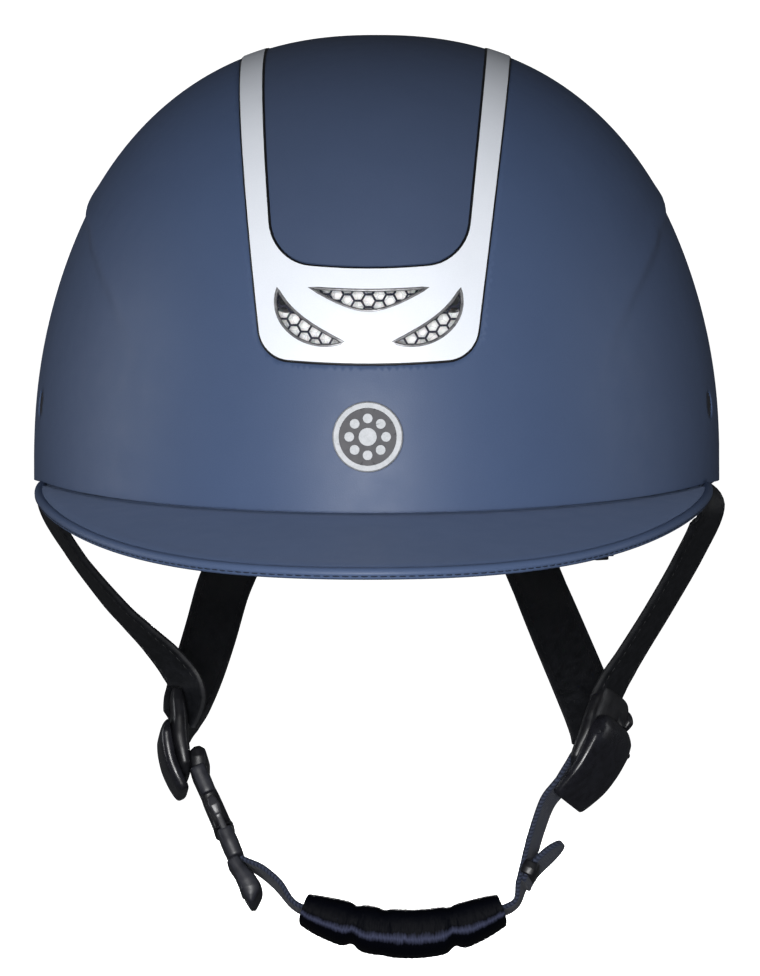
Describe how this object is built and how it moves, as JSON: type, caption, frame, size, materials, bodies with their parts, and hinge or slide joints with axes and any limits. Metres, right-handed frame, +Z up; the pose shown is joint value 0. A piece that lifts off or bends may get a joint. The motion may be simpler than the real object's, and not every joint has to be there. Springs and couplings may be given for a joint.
{
  "type": "riding helmet",
  "caption": "Equestrian riding helmet: domed shell with vented crown trim and short brim, foam liner, dial nape fit and side-release chin harness.",
  "frame": {"origin": "centre of the head opening, on the plane of the shell rim at the sides", "axes": "+X towards the wearer's left, -Y towards the front of the helmet, +Z up through the crown"},
  "size_m": [0.2, 0.3214, 0.2652],
  "materials": {
    "shell_navy": "matte navy",
    "silver_trim": "satin silver paint",
    "mesh": "dark grey moulded mesh",
    "badge": "polished",
    "foam_white": "expanded bead foam",
    "lining": "brushed wicking fabric",
    "strap": "matte black synthetic leather",
    "webbing": "dark navy twill webbing",
    "hardware": "semi gloss black nylon",
    "steel": "plain",
    "satin": "near black satin rib",
    "foam_dark": "soft foam"
  },
  "bodies": {
    "helmet": {"outer_shell": "shell_navy", "crown_panel": "shell_navy", "brim": "shell_navy", "brim_piping": "shell_navy", "vent_frame": "silver_trim", "front_vent_mesh": "mesh", "rear_vent_mesh": "mesh", "badge": "badge", "badge_push_nuts": "steel", "eps_liner": "foam_white", "headband_pad": "lining", "crown_pad": "lining", "nape_pad": "lining", "harness_rivets": "hardware", "rivet_washers": "steel", "front_strap_left": "strap", "front_strap_right": "strap", "rear_strap_left": "strap", "rear_strap_right": "strap", "nape_cradle": "hardware", "dial_cover": "hardware", "cradle_hanger_left": "hardware", "cradle_hanger_right": "hardware", "belt_guide_left": "hardware", "belt_guide_right": "hardware"},
    "harness": {"adjuster_body_left": "hardware", "adjuster_body_right": "hardware", "lever_pin_left": "steel", "lever_pin_right": "steel", "socket_strap": "webbing", "buckle_socket": "hardware"},
    "lever_left": {"cam_lever_left": "hardware"},
    "lever_right": {"cam_lever_right": "hardware"},
    "chin_strap": {"buckle_plug": "hardware", "chin_webbing": "webbing", "webbing_tail": "webbing"},
    "prong_front": {"buckle_prong_front": "hardware"},
    "prong_rear": {"buckle_prong_rear": "hardware"},
    "chin_pad": {"chin_pad_sleeve": "satin", "chin_pad_foam": "foam_dark"},
    "keeper": {"keeper_ring": "hardware"},
    "dial": {"dial_pinion": "hardware", "dial_knob": "hardware"},
    "belt_left": {"fit_belt_left": "hardware"},
    "belt_right": {"fit_belt_right": "hardware"}
  },
  "joints": [
    {"name": "harness_swing", "type": "hinge", "parent": "helmet", "child": "harness", "pos_m": [0, -0.0078, -0.006], "axis": [1, 0, 0], "range_deg": [-14, 14], "deforming": ["front_strap_left", "front_strap_right", "rear_strap_left", "rear_strap_right"]},
    {"name": "buckle_release", "type": "slide", "parent": "harness", "child": "chin_strap", "axis": [0.4051, -0.2825, -0.8695], "range_m": [0, 0.022], "deforming": ["chin_webbing", "buckle_prong_front", "buckle_prong_rear"]},
    {"name": "prong_front_squeeze", "type": "hinge", "parent": "chin_strap", "child": "prong_front", "pos_m": [-0.04356, -0.01615, -0.10238], "axis": [-0.9143, -0.1252, -0.3853], "range_deg": [0, 7], "stiffness_Nm_per_rad": 0.05},
    {"name": "prong_rear_squeeze", "type": "hinge", "parent": "chin_strap", "child": "prong_rear", "pos_m": [-0.04356, -0.00303, -0.10665], "axis": [0.9143, 0.1252, 0.3853], "range_deg": [0, 7], "stiffness_Nm_per_rad": 0.05},
    {"name": "cam_lever_left_open", "type": "hinge", "parent": "harness", "child": "lever_left", "pos_m": [0.0687, -0.00281, -0.078], "axis": [-0.3834, -0.8269, 0.4114], "range_deg": [0, 70]},
    {"name": "cam_lever_right_open", "type": "hinge", "parent": "harness", "child": "lever_right", "pos_m": [-0.0619, -0.00149, -0.07812], "axis": [-0.104, 0.9425, -0.3175], "range_deg": [0, 70]},
    {"name": "chin_pad_shift", "type": "hinge", "parent": "chin_strap", "child": "chin_pad", "pos_m": [0.008, 0.00649, -0.05503], "axis": [0, -0.9511, 0.309], "range_deg": [-2, 2]},
    {"name": "keeper_slide", "type": "slide", "parent": "chin_strap", "child": "keeper", "axis": [0.4202, 0.2804, 0.863], "range_m": [-0.003, 0.006], "deforming": ["webbing_tail"]},
    {"name": "dial_turn", "type": "hinge", "parent": "helmet", "child": "dial", "pos_m": [0, 0.095, -0.024], "axis": [0, 1, 0], "range_deg": [0, 168]},
    {"name": "belt_left_travel", "type": "hinge", "parent": "helmet", "child": "belt_left", "pos_m": [0, 0.016, -0.024], "axis": [0, 0, 1], "range_deg": [-0.5, 10.5]},
    {"name": "belt_right_travel", "type": "hinge", "parent": "helmet", "child": "belt_right", "pos_m": [0, 0.016, -0.024], "axis": [0, 0, 1], "range_deg": [-10.5, 0.5]}
  ],
  "couplings": [
    {"joint": "prong_rear_squeeze", "follows": "prong_front_squeeze", "ratio": 1},
    {"joint": "belt_left_travel", "follows": "dial_turn", "ratio": 0.059211},
    {"joint": "belt_right_travel", "follows": "dial_turn", "ratio": -0.059211}
  ]
}
